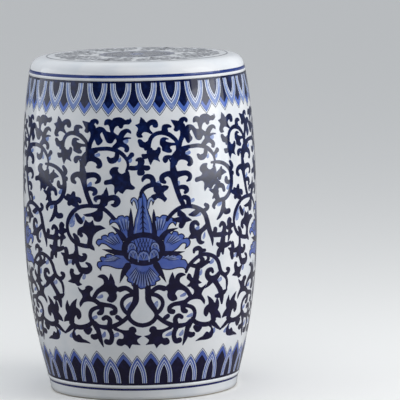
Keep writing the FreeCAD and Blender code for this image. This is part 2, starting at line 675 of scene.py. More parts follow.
def stroke(painting, ink, points, where=on_drum, closed=False):
    """One stroke of the brush through points of (degrees, height, width)."""
    sheet = painting[ink]
    lift = next_lift(sheet, ink)
    line = smooth_line([(*where(a, z), width) for a, z, width in points], closed)
    if closed:
        line.append(line[0])
    left, middle, right = [], [], []
    last = len(line) - 1
    for index, (x, y, width) in enumerate(line):
        ahead_x, ahead_y, _ = line[1 if closed and index == last else min(index + 1, last)]
        behind_x, behind_y, _ = line[last - 1 if closed and index == 0 else max(index - 1, 0)]
        run = math.hypot(ahead_x - behind_x, ahead_y - behind_y) or 1.0
        along_x, along_y = (ahead_x - behind_x) / run, (ahead_y - behind_y) / run
        sides = math.hypot(x - behind_x, y - behind_y) * math.hypot(ahead_x - x, ahead_y - y)
        bend = (x - behind_x) * (ahead_y - y) - (y - behind_y) * (ahead_x - x)
        inside = run * sides / (2.0 * abs(bend) + 1e-9) if sides else width
        rounds = [(0.0, 1.0)]
        if not closed and index in (0, last):
            quarter = [math.pi / 2.0 * step / end_steps for step in range(1, end_steps + 1)]
            sign = -1.0 if index == 0 else 1.0
            rounds += [(sign * math.sin(angle), max(math.cos(angle), 0.02)) for angle in quarter]
            if index == 0:
                rounds.reverse()
        for forward, share in rounds:
            half = width / 2.0
            centre_x = x + along_x * forward * half
            centre_y = y + along_y * forward * half
            to_left = share * (min(half, inside) if bend > 0.0 else half)
            to_right = share * (min(half, inside) if bend < 0.0 else half)
            left.append(Vector((centre_x - along_y * to_left, centre_y + along_x * to_left, lift)))
            middle.append(Vector((centre_x, centre_y, lift)))
            right.append(Vector((centre_x + along_y * to_right, centre_y - along_x * to_right, lift)))
    woven(sheet, [right, middle, left])


def patch(painting, ink, points, where=on_drum):
    """A filled shape inside a smooth outline of (degrees, height) points.

    It is cut across and along, so that it can bend round the drum with the glaze.
    """
    sheet = painting[ink]
    lift = next_lift(sheet, ink)
    outline = smooth_line([where(a, z) for a, z in points], True)
    ring = [sheet.verts.new((x, y, lift)) for x, y in outline]
    edges = [sheet.edges.new((ring[index - 1], ring[index])) for index in range(len(ring))]
    filled = bmesh.ops.triangle_fill(sheet, edges=edges, use_beauty=True)["geom"]
    part = ring + list(dict.fromkeys(edges + filled))
    for axis, step, normal in cuts:
        low = min(point[axis] for point in outline)
        high = max(point[axis] for point in outline)
        for place in even_heights(low, high, step)[1:-1]:
            cut = bmesh.ops.bisect_plane(
                sheet, geom=part, plane_co=normal * place, plane_no=normal, dist=cut_weld
            )
            part = cut["geom"]


def halfway(ends):
    """The points halfway between neighbours in a row of (degrees, height) points."""
    return [((a + c) / 2.0, (z + d) / 2.0) for (a, z), (c, d) in zip(ends, ends[1:])]


def washed_petal(painting, root, points):
    """A petal washed in blue and outlined, with dark veins to its edge and light between."""
    patch(painting, "mid", points)
    stroke(painting, "dark", [(a, z, edge_line) for a, z in [points[-1]] + points])
    tips = [start for start, end in zip(points, points[1:]) if start == end]
    order = [end for pair in zip(tips, halfway(tips)) for end in pair] + tips[-1:]
    for ink, ends, line in (("dark", order, dark_vein), ("light", halfway(order), light_vein)):
        for tip_a, tip_z in ends:
            vein = []
            for share, width in line:
                degrees = root[0] + (tip_a - root[0]) * share
                vein.append((degrees, root[1] + (tip_z - root[1]) * share, width))
            stroke(painting, ink, vein)


lotus_bud = [
    (-3.4, 228), (-3.1, 238), (-2.5, 249), (-1.6, 257), (-1, 265), (-1.1, 271), (-0.8, 276),
    (0, 281.5), (1.2, 287.5), (1.2, 287.5), (2.4, 281.5), (3.2, 276), (3.4, 271), (3.4, 265), (4, 257),
    (5, 249), (5.6, 238), (5.8, 228),
]
bud_volutes = (
    [(-1.2, 264, 3.4), (-1.8, 273, 5), (-3, 276.6, 5), (-4, 273.6, 4), (-3.7, 268, 0.8)],
    [(3.6, 264, 3.4), (4.2, 273, 5), (5.3, 276.6, 5), (6.3, 273.6, 4), (6, 268, 0.8)],
)
volute_light = 0.5
bud_stripe = [(1.2, 230, 2.4), (1.1, 248, 2.4), (1.3, 264, 1.8), (1.2, 280, 0.7)]
bud_edges = (
    [(-2.4, 231, 1.0), (-1.6, 246, 1.5), (-0.3, 259, 1.2), (0.2, 273, 0.6)],
    [(4.8, 231, 1.0), (4.0, 246, 1.5), (2.8, 259, 1.2), (2.4, 273, 0.6)],
)
bud_root = (1.2, 226)
bud_marks = (233, 240, 247, 254, 261, 268)
bud_mark_spread = 1.9
bud_mark_low = 228.0
bud_mark_taper = 45.0
bud_mark_drop = 5.0
bud_mark_widths = (1.5, 0.7)
heart_half_width = 22.3
heart_half_height = 16.5
heart_points = 16
heart_wash = 1.1
heart_edge = 1.15
heart_edge_width = 7.4
chequer_places = (-8.4, -4.2, 0.0, 4.2, 8.4)
chequer_lean = 0.35
chequer_heights = (-4.0, 5.0, 14.0)
chequer_width = 0.9
scale_points = 9
scale_turn = math.radians(25.0)
scale_rims = (("dark", 1.0, 1.2), ("light", 0.78, 1.4))
scale_veins = (("dark", (-0.7, 0.0, 0.7)), ("light", (-0.35, 0.35)))
scale_vein_reach = 0.7
scale_vein_widths = (0.6, 0.9)
heart_scales = (
    (0.0, -15.0, 9.5, 13.0), (-14.0, -11.0, 7.0, 11.0), (14.0, -11.0, 7.0, 11.0),
    (-15.5, 1.0, 6.0, 8.0), (15.5, 1.0, 6.0, 8.0),
)
lotus_petals = (
    ((-6.6, 222), [
        (-14.8, 242.5), (-14.8, 242.6), (-14.9, 247.5), (-13.6, 250.6), (-11.6, 250.6), (-11.4, 249.4),
        (-11.4, 249.4), (-10.6, 253.2), (-8.6, 254.6), (-7.6, 252.4), (-7.6, 252.4), (-6.4, 254),
        (-5.2, 251.5), (-5, 247.4), (-5, 247.4), (-4.5, 243), (-5, 233), (-6, 222), (-8.6, 226),
        (-9.7, 235), (-10.8, 242), (-12.2, 245.6), (-13.6, 245),
    ]),
    ((8.4, 222), [
        (6.6, 246.5), (6.6, 246.5), (6.6, 250), (8, 252.2), (9.4, 250.6), (9.4, 250.6), (10.6, 253.8),
        (12.6, 253), (13, 249.8), (13, 249.8), (14.6, 250.4), (16.8, 247.4), (17.5, 243), (17, 239.3),
        (17, 239.2), (15.6, 243.4), (13.8, 240), (12.2, 231.6), (10.2, 222), (7.6, 222), (7, 232),
        (6.4, 241),
    ]),
    ((-8.4, 209), [
        (-20.6, 213.4), (-20.6, 213.5), (-22, 217.6), (-20.9, 222.4), (-18.9, 222.6), (-18.9, 222.6),
        (-19.1, 226.2), (-17.2, 228.4), (-15.9, 226.4), (-15.9, 226.4), (-15.4, 230.6), (-13.4, 232),
        (-12.4, 229), (-12.4, 229), (-11.2, 231.4), (-9.6, 228), (-8.6, 218), (-8.4, 207),
        (-11.6, 207.6), (-14.6, 211.2), (-17.2, 216), (-19.2, 217.2),
    ]),
    ((10.4, 209), [
        (10.6, 204), (10.8, 216), (11.8, 226), (13.4, 230.4), (15, 227.6), (15, 227.6), (16, 231.6),
        (18, 230), (18.2, 226), (18.2, 226), (20, 227.4), (21.4, 224), (20.6, 220.4), (20.6, 220.4),
        (23, 221.2), (24.4, 216.6), (23.8, 211), (21.8, 207.5), (21.8, 207.4), (22.2, 213.6),
        (20.2, 214.4), (17.6, 208), (14.4, 203.6),
    ]),
    ((-7.6, 194), [
        (-8.8, 203), (-12, 202.6), (-13.6, 200.8), (-13.6, 200.8), (-15.6, 203), (-17.4, 201),
        (-17, 198.2), (-17, 198.2), (-19.4, 199), (-20.2, 195.6), (-19.2, 192.8), (-19.2, 192.8),
        (-21.4, 191.6), (-21.8, 186.4), (-20.2, 181.3), (-20.2, 181.2), (-19.4, 186.4), (-16, 186.8),
        (-12, 183.6), (-8.6, 184), (-6, 188), (-5.4, 193),
    ]),
    ((8.8, 193), [
        (9, 200.4), (12.4, 199.6), (12.4, 199.6), (14.4, 202.6), (16.6, 201.2), (16.8, 198.4),
        (16.8, 198.4), (18.8, 199.6), (20.2, 196.2), (19.4, 193), (19.4, 193), (21.6, 192), (22.8, 187),
        (23.2, 182), (22, 177.5), (22, 177.4), (20.8, 181.4), (18, 182.2), (14, 180.4), (10, 182),
        (7.6, 187), (7, 192),
    ]),
    ((0.7, 194), [
        (-5.6, 190), (-7.4, 181), (-7.8, 175), (-6.7, 171.2), (-6.7, 171.2), (-7, 166.6), (-5, 163.6),
        (-5, 163.6), (-4.4, 159.4), (-2, 158.8), (-2, 158.8), (-0.6, 155.6), (1, 156.4), (1, 156.4),
        (3, 155.8), (4.2, 159), (4.2, 159), (6.6, 160.4), (6.8, 164.4), (6.8, 164.4), (9, 167.4),
        (8.2, 171.6), (8.2, 171.6), (9.4, 176), (8.8, 182), (6.8, 190),
    ]),
)
lotus_spikes = (
    [(-8.5, 204, 7), (-13.5, 206, 6.5), (-18.9, 209, 0.6)],
    [(10.5, 202.6, 7), (15.5, 201.8, 6.5), (21.4, 203.4, 0.6)],
    [(-6.6, 187, 9), (-8.8, 177.5, 7), (-10.8, 163.8, 0.6)],
    [(7.2, 187.5, 9), (9.3, 177, 7), (12.0, 163.2, 0.6)],
    [(-4.9, 228, 8.5), (-4.8, 240, 8), (-4.6, 252, 5.5), (-4.5, 264, 0.8)],
    [(6.6, 228, 7), (6.7, 243, 6), (6.5, 254, 4.5), (6.5, 262, 0.8)],
    [(-8.3, 224, 8), (-10.3, 232, 6.5), (-13.9, 240.4, 0.8)],
    [(10.2, 224, 8), (13, 231.6, 6), (18.4, 235.6, 0.8)],
)


def heart_oval(share, width):
    """An oval line round the heart of the flower, share of the heart's own size."""
    points = []
    for step in range(heart_points):
        angle = math.tau * step / heart_points
        across = heart_half_width * share * math.cos(angle) / mm_per_degree
        up = heart_half_height * share * math.sin(angle)
        points.append((heart_middle[0] + across, heart_middle[1] + up, width))
    return points


def heart_line(painting, ink, points):
    """A fine line in the heart through (across, up, width) in mm from its middle."""
    line = [(heart_middle[0] + x / mm_per_degree, heart_middle[1] + z, width) for x, z, width in points]
    stroke(painting, ink, line)


def heart_scale(painting, across, up, wide, high):
    """One rounded scale in the heart: a dark rim, a light line inside it, and fine veins."""
    for ink, share, width in scale_rims:
        rim = []
        for step in range(scale_points):
            angle = scale_turn * (step - scale_points // 2)
            x = across + wide * share * math.sin(angle)
            rim.append((x, up + high * share * math.cos(angle), width))
        heart_line(painting, ink, rim)
    start = (across, up, scale_vein_widths[0])
    for ink, angles in scale_veins:
        for angle in angles:
            x = across + scale_vein_reach * wide * math.sin(angle)
            z = up + scale_vein_reach * high * math.cos(angle)
            heart_line(painting, ink, [start, (x, z, scale_vein_widths[1])])


def lotus(painting):
    """One whole flower: six side petals, the one below, the bud above and the heart."""
    for root, outline in lotus_petals:
        washed_petal(painting, root, outline)
    washed_petal(painting, bud_root, lotus_bud)
    stroke(painting, "dark", bud_stripe)
    for height in bud_marks:
        start = (bud_root[0], height, bud_mark_widths[0])
        spread = bud_mark_spread - (height - bud_mark_low) / bud_mark_taper
        for side in (-1.0, 1.0):
            end = (bud_root[0] + side * spread, height - bud_mark_drop, bud_mark_widths[1])
            stroke(painting, "dark", [start, end])
    for edge in bud_edges:
        stroke(painting, "light", edge)
    for volute in bud_volutes:
        stroke(painting, "dark", volute)
        stroke(painting, "light", [(a, z, width * volute_light) for a, z, width in volute[:4]])
    for spike in lotus_spikes:
        stroke(painting, "dark", spike)
    patch(painting, "mid", [(a, z) for a, z, _ in heart_oval(heart_wash, 0.0)])
    stroke(painting, "dark", heart_oval(heart_edge, heart_edge_width), closed=True)
    for across in chequer_places:
        for lean in (-chequer_lean, chequer_lean):
            line = [(across + lean * up, up, chequer_width) for up in chequer_heights]
            heart_line(painting, "dark", line)
    for scale in heart_scales:
        heart_scale(painting, *scale)


lotuses = new_painting()
lotus(lotuses)


def repeat_round(painting, count):
    """Draws the same again, side by side, until it goes right round the stool."""
    for sheet in painting.values():
        drawn = sheet.verts[:] + sheet.edges[:] + sheet.faces[:]
        for place in range(1, count if drawn else 1):
            made = bmesh.ops.duplicate(sheet, geom=drawn)["geom"]
            moved = [part for part in made if isinstance(part, bmesh.types.BMVert)]
            away = Vector((360.0 * mm_per_degree * place / count, 0.0, 0.0))
            bmesh.ops.translate(sheet, verts=moved, vec=away)


def by_hand(point):
    """Round the drum, with the small drift of a free hand, which grows away from the front."""
    angle = point.x / round_mm
    away = 1.0 - math.cos(angle)
    aside = math.sin(point.y / drift_periods[0] + drift_starts[0]) + math.sin(drift_turns[0] * angle)
    drift = hand_drift * math.sin(drift_turns[1] * angle + drift_starts[1])
    tremble = hand_tremble * math.sin(point.y / drift_periods[1] + drift_turns[2] * angle)
    across = away * hand_drift * aside
    up = away * (drift + tremble)
    return round_the_drum(point + Vector((across, up, 0.0)))


repeat_round(lotuses, lotus_count)
keep_painting("lotus", lotuses, by_hand)

# Scrolling stems
# Stems, curls and leaves that fill the ground between the flowers, each laid with
# one loaded stroke of dark cobalt, and touched here and there with a watery blue.
rim_repeats = 8
bleed = 0.9
touch_points = 12
touch_taper = 0.5
touch_lean = 0.6
rim_scroll_strokes = (
    [(-28.7, 322, 6), (-28, 332, 5), (-25, 340, 4.5), (-21.5, 342.6, 4.5), (-18, 343.6, 4.6),
        (-14.5, 343.6, 4.8), (-10.3, 340.5, 4.8), (-7.4, 334.5, 4.5), (-5.8, 327.5, 3.2),
        (-5.4, 320.5, 2.8), (-6.2, 314, 3)],
    [(-10.6, 339, 5), (-10.8, 333, 6), (-12, 328.8, 7), (-13.9, 328, 7), (-15.2, 331.5, 3)],
    [(-6, 329, 3), (-4.6, 332.5, 4.5), (-3.5, 335.5, 6)],
    [(-7.8, 356.2, 3), (-6, 357.6, 2), (-4, 357.6, 1)],
    [(4.7, 338, 5), (4.8, 344, 4.8), (5.1, 350.5, 4.6), (6, 357, 4.6), (7.8, 361.6, 4.6),
        (10.2, 363.6, 4.8), (12.8, 363, 5.2), (15, 360.8, 5.4), (16.9, 357, 5), (18.4, 352.6, 4.6),
        (19, 347.5, 4.4), (19.1, 340, 4.4), (18.3, 331, 5.5), (17, 322, 6)],
    [(17.6, 324, 6), (18.8, 331, 6), (19.6, 338, 6), (20.1, 345, 5.6), (20.8, 352, 5.6),
        (22, 359, 6.8), (22.3, 366, 8), (21.9, 371, 9)],
    [(-28.8, 323, 6), (-28.5, 314, 8.5), (-28.2, 307, 12), (-27.9, 299, 8), (-27.2, 290.5, 6.5),
        (-26.3, 282, 6), (-25.2, 274, 6), (-24, 267.5, 6)],
    [(-29, 307, 10), (-31.5, 308.7, 6.5), (-33.9, 305.5, 6.5), (-34.1, 300.5, 6.5), (-32.9, 297.8, 4)],
    [(-28, 306, 10), (-25, 308, 7), (-22, 308.5, 6.3), (-20.1, 305, 6), (-20.2, 300.5, 5),
        (-21.6, 297.8, 2)],
    [(-26.8, 288, 5), (-24.7, 290.3, 5), (-22.6, 289, 6), (-21.8, 285.5, 5.8), (-22.7, 282.7, 4)],
    [(-28.6, 324, 4), (-29.6, 326, 3), (-30.3, 328, 1)],
)
rim_scroll_leaves = (
    [(-10.2, 318.8), (-12.6, 318.8), (-14.2, 315), (-14.3, 310.5), (-13.2, 306.5), (-14, 303),
        (-16.9, 300.8), (-16.9, 295.8), (-13.6, 296.8), (-12.2, 293.5), (-12.3, 287), (-12, 282.3),
        (-12, 282.3), (-10.4, 287.3), (-9.4, 285.5), (-8.3, 284), (-8.3, 284), (-7.2, 288),
        (-6.2, 290), (-3.4, 289.2), (-2.4, 292), (-4, 295.8), (-4.6, 301), (-4.7, 307), (-5.2, 313),
        (-6, 313.5), (-8.3, 310), (-10, 312), (-10.5, 315.5)],
    [(-16.9, 375.3), (-16.9, 378.4), (-16.3, 381.5), (-15.2, 382.8), (-14, 382.4), (-13.1, 381.3),
        (-12.2, 383.6), (-10.6, 384.9), (-8.9, 384.9), (-7.5, 383.3), (-6.3, 381.3), (-5.3, 382.2),
        (-4.4, 382.3), (-4, 383.9), (-4, 383.9), (-3.4, 380.8), (-3.7, 378.5), (-4.7, 376.2),
        (-6.2, 376.2), (-7.3, 375.4), (-7.7, 372.3), (-8.4, 370.8), (-9.3, 371.6), (-9.7, 373.8),
        (-10.4, 374.2), (-11.4, 372.6), (-12.1, 369.4), (-12.3, 365.7), (-11.4, 363.4),
        (-10.2, 361.4), (-9.4, 362), (-9.2, 356), (-10.6, 355), (-11.3, 357.2), (-12.1, 355.6),
        (-12.6, 353), (-13.4, 351.2), (-14.5, 351.1), (-15.6, 352.6), (-16.3, 355.8), (-17.2, 361.5),
        (-18.1, 366.5), (-18.1, 366.5), (-19.2, 362.6), (-18.6, 357.8), (-17.9, 354.9),
        (-18.2, 352.2), (-19.1, 350), (-20.1, 348.2), (-20.9, 349.8), (-21.4, 353), (-22, 357),
        (-22.2, 363), (-21.5, 369), (-20.3, 371.9), (-18.9, 372.4), (-17.6, 371.5), (-16.7, 369.6),
        (-15.9, 367), (-14.8, 365.7), (-13.8, 365.7), (-14.1, 369.8), (-14.5, 374.1), (-15.3, 375.8),
        (-16.2, 375.2)],
    [(-3.7, 363.6), (-3.7, 363.6), (-3.8, 366.5), (-4.7, 369.1), (-5.9, 369.9), (-7.3, 368.9),
        (-8.5, 367), (-9.3, 364.3), (-9.9, 361.5), (-10.5, 358), (-10.7, 354.5), (-10.9, 352),
        (-11.7, 349.6), (-12.8, 346.5), (-12.8, 343.5), (-11.2, 342.3), (-10, 344.9), (-8.9, 346.4),
        (-7.6, 345.9), (-6.8, 343.6), (-7, 340.8), (-6.2, 339.2), (-5.3, 339.8), (-4.8, 342.6),
        (-4.9, 345.9), (-5.8, 349), (-7, 350.8), (-7.7, 353.4), (-7.6, 357), (-7.1, 360.6),
        (-6.3, 363.4), (-5.3, 365.4)],
    [(-25.6, 337), (-23, 340.8), (-20.8, 341.8), (-20.4, 339.4), (-21.9, 337.2), (-22.1, 334),
        (-20.8, 331.8), (-19.2, 329.4), (-18.3, 325), (-18.3, 320.5), (-19.4, 317.6), (-20.8, 317.8),
        (-21.2, 319.6), (-20.7, 321.6), (-21.4, 324.8), (-23.2, 326.8), (-25, 326.6), (-26.2, 324),
        (-27, 320), (-28.6, 322), (-28, 330)],
    [(1.3, 385), (1.3, 385), (2.8, 381.4), (3.9, 377.8), (5.1, 379.8), (6.8, 381.6), (8.5, 380.7),
        (9.4, 377.4), (9.6, 373.5), (9.2, 371.3), (8.2, 370.8), (7.3, 372), (7.1, 374), (6.4, 374.5),
        (5.6, 372.8), (5.4, 369.6), (6.1, 366), (6.8, 364), (6.2, 362.6), (4.6, 364.8), (2.9, 365.7),
        (1.8, 364.2), (1.4, 361.8), (1.9, 359), (0.9, 358.2), (-0.3, 358.6), (-1, 361.8), (-0.8, 365),
        (-0.2, 368.6), (-0.3, 371.4), (-1.5, 374.8), (-1.5, 374.8), (-0.2, 375.9), (0.6, 377.4),
        (0.9, 381)],
    [(-0.4, 353.2), (0, 355.7), (1.2, 355.2), (2.2, 352.4), (3.3, 351.6), (4.6, 353.5), (5.2, 350),
        (5, 344), (4.2, 341.8), (2.9, 341.2), (2.4, 344.2), (1.2, 345.2), (0.3, 347), (0, 349.8)],
    [(11.2, 364), (11.5, 368), (11.7, 371.6), (12.4, 373.9), (13.8, 374.5), (15.2, 373.9),
        (16.3, 371.6), (16.1, 370.3), (14.9, 370.2), (14.2, 368.3), (14.5, 365.2), (13, 363)],
    [(1.3, 334.6), (1.6, 336), (2.9, 336), (4, 336.8), (4.4, 341), (6, 344.2), (6.6, 341.8),
        (7.6, 340.6), (8.6, 341.4), (9.1, 343.8), (9.8, 344.6), (10.5, 342.6), (10.3, 337.6),
        (9.5, 333.4), (9.3, 330), (10, 325.6), (10, 325.6), (8.2, 328), (7, 328.4), (6.2, 325.4),
        (5.5, 321.6), (5.5, 321.6), (4.8, 326), (4.2, 330.6), (3.1, 329.8), (1.9, 330.2)],
    [(10.4, 352), (10.8, 355.4), (12, 357.2), (13.5, 356.6), (14.6, 354.8), (13.4, 354.4),
        (13.1, 352.4), (14, 350.9), (16, 349.6), (18.6, 348.8), (18.6, 346.4), (16.6, 346.2),
        (15.4, 345.2), (15.2, 342.6), (16, 340), (15.8, 337.4), (14.4, 336.9), (12.8, 338.3),
        (11.4, 340.4), (11.3, 344.6), (10.4, 348)],
    [(11.5, 328), (12, 331.6), (13.4, 333.3), (15.2, 333), (17, 331.6), (17.2, 326), (15.6, 329),
        (14.2, 328.4), (13.7, 325.6), (12.8, 323.6), (11.9, 324.8)],
    [(16.3, 380), (16.3, 380), (18.3, 379), (20.2, 378.2), (21, 381), (22.5, 382.7), (24, 382.4),
        (25, 379.4), (24.7, 376.2), (23.9, 376.4), (23.5, 378.4), (22.8, 376.6), (22.6, 374),
        (23.2, 370.8), (23.6, 366), (23.4, 360), (22, 357), (21, 360), (20.9, 364), (20.3, 366.5),
        (19.4, 364.7), (18.2, 365), (17.6, 367.2), (18.1, 370.8), (17.2, 375.4)],
)
rim_scroll_washes = (
    (-20.7, 335, 9, 6), (-6.6, 353.4, 9, 8), (16.8, 332.5, 6, 9), (3.4, 345.4, 5, 5), (-9.4, 329, 4, 7),
    (-4.3, 328.5, 5, 8),
)
belly_scroll_strokes = (
    [(-17.2, 271, 8), (-16.6, 282, 7.5), (-16.2, 291.5, 0.5)],
    [(-17.2, 273, 6), (-14.6, 277.8, 6.5), (-12, 278.2, 7), (-10.8, 273.5, 7.8), (-12.2, 268.7, 6),
        (-13.7, 268.9, 2)],
    [(-17.3, 277, 7), (-20, 279, 5), (-21.8, 276.3, 6), (-21.6, 273.3, 2)],
    [(-17.2, 279, 10), (-18, 271, 8.5), (-19, 266, 8)],
    [(-19.5, 266, 6), (-17, 261.8, 4.8), (-14.8, 256.5, 4.6), (-12.8, 250.5, 4.6)],
    [(-18.5, 266.5, 6), (-22, 266.8, 4.6), (-26, 267, 4.6), (-30, 265.2, 4.8), (-33, 261, 5.2),
        (-35.6, 254, 5.6), (-37.3, 246, 5.2), (-37.9, 238, 4.4), (-37.3, 229, 4.4),
        (-35.2, 220.5, 4.8), (-32, 215.3, 5.2), (-28, 212.8, 5.2), (-25.5, 213, 6)],
    [(-31, 230, 5), (-29.9, 227, 5)],
    [(-33.9, 227.3, 4), (-32.7, 223, 7), (-31.8, 218.5, 6)],
    [(-32.3, 254, 5), (-31, 248.5, 7.5), (-30, 245.6, 7)],
    [(-31.5, 266, 5), (-34.3, 273.5, 12), (-33.8, 282.8, 5.5)],
    [(-34.5, 274.5, 10), (-37.2, 279.3, 5.5)],
    [(-35, 274, 9), (-38.9, 277, 4.5)],
    [(-35, 273, 9), (-36.4, 269.5, 6.5)],
    [(-34, 274, 10), (-31, 274.7, 6.5), (-30.3, 272.6, 5)],
    [(37.5, 319.5, 2.5), (41.5, 319.3, 4), (45.5, 316.3, 4.6), (48.8, 310, 5.5), (50.4, 302, 6.2),
        (50.7, 292, 6.5), (50.1, 283, 6.2), (48.2, 274.5, 5.6), (45.6, 269.5, 5.2), (42.5, 268.2, 5),
        (40, 266.5, 5.5), (38.2, 262, 5.5), (38.5, 258.5, 3)],
    [(50, 306, 5), (51.4, 311.5, 6.5), (50.2, 317.5, 4.5)],
    [(50, 303, 5), (51.7, 301.8, 6)],
    [(39.8, 299.5, 3.5), (42, 304, 8), (44, 305.3, 8), (46.8, 304.3, 0.8)],
    [(42.5, 303, 8), (42.2, 297.8, 5.5)],
    [(43, 306, 7), (43.6, 311.5, 2.5)],
    [(50, 291.5, 5), (48.4, 290.3, 4.6), (46.9, 292.7, 6.5), (46.8, 296.3, 5)],
    [(45, 281, 5), (44.3, 286, 5.6), (42, 288, 6.3), (39.8, 284.5, 7.5), (39.5, 278, 8.5),
        (40.6, 270.5, 7.5)],
    [(40, 280, 8), (37.7, 281.5, 5), (35.6, 283.3, 0.8)],
    [(39.5, 277, 7), (37.6, 271.5, 1.5)],
    [(44.6, 268.5, 5), (44.6, 262, 6.2), (44.2, 256.5, 7), (43, 250.5, 5.6), (41.6, 245.8, 4.2),
        (40.2, 242.6, 1.5)],
    [(44.5, 256, 7), (46, 251.6, 7), (48.3, 252, 6.8)],
    [(12.8, 247.5, 4.4), (15.2, 254.8, 4.6), (18, 260.5, 4.8), (21, 263.6, 5.2), (24.5, 264, 5.2),
        (28, 261.2, 5.2), (31, 256.8, 5.6), (33, 250, 6), (34, 242, 6.6), (34.6, 235, 7),
        (35.5, 228, 6.6), (36.5, 221, 5.6), (37, 214.5, 4), (37.1, 208, 0.8)],
    [(36.2, 224, 6), (38.2, 224, 6), (38.9, 229.3, 6.5)],
    [(31.8, 256, 5), (33.5, 257.8, 5), (34.4, 261.3, 5.8), (33.2, 264, 4.5)],
    [(20.3, 273.3, 4), (21.6, 276.4, 5.6), (23.6, 273.8, 6.2), (24, 267, 6.2)],
    [(19.2, 255.6, 6.5), (21, 250, 8.5), (20.8, 244, 8.5), (19.9, 238.3, 6.8)],
    [(16.2, 246.7, 4), (20, 246.5, 8), (22.5, 246.5, 7.5), (25.2, 244.8, 0.8)],
    [(19.2, 256, 6.5), (18.4, 252.4, 1.5)],
    [(24.3, 252.3, 2), (26.5, 253, 6.8), (29, 256.5, 6)],
    [(28.9, 238.3, 4), (27.6, 241.4, 5.2), (25.8, 239.3, 6.6), (25.6, 232, 7.8), (27, 226.5, 10)],
    [(42, 233.3, 4), (43.2, 236.6, 5.2), (45, 233, 6.2), (44.7, 226, 7), (44.1, 218, 7.2),
        (43.6, 211, 9), (43.5, 204, 8), (43.8, 195.5, 3.5)],
    [(44, 221, 6.5), (41, 221.5, 6), (38.6, 221.8, 6)],
    [(44, 222, 9), (46, 221.7, 5.5), (47.8, 220.6, 0.8)],
    [(43.5, 207, 8), (41.3, 207.6, 6.2), (40.1, 209.2, 4)],
    [(43.3, 203.5, 8), (41.2, 199, 7), (40.7, 194.3, 6.3)],
    [(44, 206.5, 9), (46.5, 206.3, 6.2), (49, 208.5, 4.6)],
    [(22.2, 175.5, 3), (23.2, 182, 4.6), (25.6, 189, 4.6), (28.6, 194.7, 4.6), (32, 197.2, 4.6),
        (35.5, 195.7, 4.6), (38.8, 191, 5), (40.8, 184, 5.5), (41.8, 176, 5.6), (43, 169.5, 5.6),
        (45.3, 166, 5.2), (47.3, 167.7, 4.8), (48.2, 171.8, 5.8), (47, 173.6, 4.3)],
    [(45, 165.5, 4.8), (46.7, 160, 4), (47.2, 152, 3.6), (46.8, 143.5, 0.8)],
    [(26.4, 201.4, 3), (26.8, 204.8, 5), (28.8, 206.4, 5.6), (30.2, 203, 6.2), (30, 198, 6.2)],
    [(30.4, 202.6, 5), (32.4, 202.6, 4)],
    [(24.4, 184.8, 4.6), (27, 182.6, 5), (29.5, 182, 7.2), (31.5, 185, 8), (35.2, 186.2, 2)],
    [(30.3, 184, 7.5), (31.1, 190, 6.8), (29.8, 193.6, 3.5)],
    [(29, 183, 7.5), (28.3, 177, 7.2), (27.8, 170, 8), (27.2, 163, 9)],
    [(34, 196, 4), (34.6, 191, 4), (33.6, 187.5, 4)],
    [(37.3, 172.3, 4), (36.4, 175.7, 5.2), (34.4, 174, 6.6), (34, 168, 7.2), (36, 163, 8),
        (39, 163.5, 8), (41.5, 169, 6)],
    [(37, 162, 8.5), (35, 156.3, 5.5), (33.1, 151.5, 0.8)],
    [(38.5, 161, 8), (40.8, 152.5, 6.5), (42.8, 145, 8), (43.8, 137.5, 8.5), (44.3, 128, 3.5)],
    [(43.5, 140, 8), (41.5, 138.6, 6), (39.9, 138.6, 4)],
    [(44, 141, 7.5), (46, 143, 5.2), (47.4, 145.5, 1.5)],
    [(-33, 214, 4.6), (-32.9, 206, 5.2), (-33.3, 198.5, 10), (-33, 190.5, 6.5), (-32, 184, 6.2),
        (-30.7, 179.5, 7)],
    [(-33.5, 198, 10), (-30.5, 194.7, 7.8), (-28.7, 196.6, 7), (-28.1, 200.3, 4.8), (-29.2, 201.6, 2)],
    [(-34, 198, 8.5), (-37, 197, 6), (-39, 197.5, 6)],
    [(-39.2, 207, 6), (-38.9, 201, 7), (-39.7, 195, 7.8), (-39.3, 187.8, 5.6)],
    [(-39.5, 198, 7.5), (-41, 199.6, 4.5), (-42.4, 201.3, 0.8)],
    [(-34.3, 194, 7), (-35.3, 188.3, 4)],
    [(-31, 180, 7.5), (-28, 179, 8.5), (-26, 182, 7.2), (-26, 186.8, 5.2), (-27.6, 189.7, 2.5)],
    [(0.3, 279, 2.5), (0.7, 285, 4), (2.2, 290.5, 4.8), (4.5, 294, 5.5), (7, 295.3, 6), (9.3, 293, 7)],
    [(6, 295, 6), (6.5, 300, 6.5), (5.4, 305.3, 6.3), (3, 306.3, 5.5), (1.7, 303, 4), (1.4, 300.5, 2)],
)
